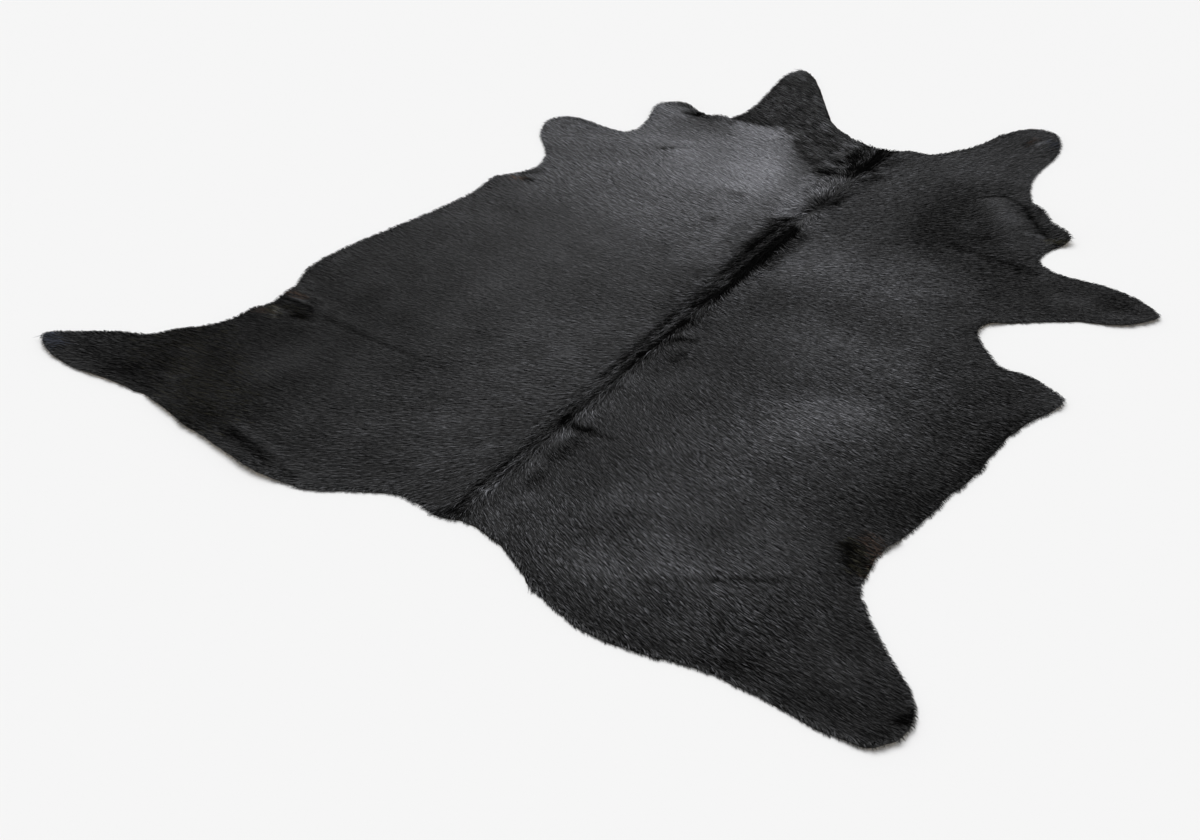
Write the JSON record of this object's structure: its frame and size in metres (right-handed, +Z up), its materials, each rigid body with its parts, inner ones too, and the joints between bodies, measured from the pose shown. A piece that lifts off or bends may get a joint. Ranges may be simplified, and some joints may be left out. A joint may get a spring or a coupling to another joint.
{
  "type": "hair-on cowhide rug",
  "caption": "Whole black hair-on cowhide laid flat as a rug, with an uneven cut outline of neck lobes, forelegs, flanks and hind legs and short hair lying away from the spine.",
  "frame": {"origin": "on the floor, under the middle of the hide's box", "axes": "+Y along the spine from the tail to the neck, +X to the hide's right as seen from above with the neck ahead, +Z up"},
  "size_m": [2.05, 2.232, 0.0261],
  "materials": {
    "hide": "short black hair lying flat, with a soft sheen"
  },
  "bodies": {
    "root": {"cowhide": "hide"}
  },
  "joints": []
}
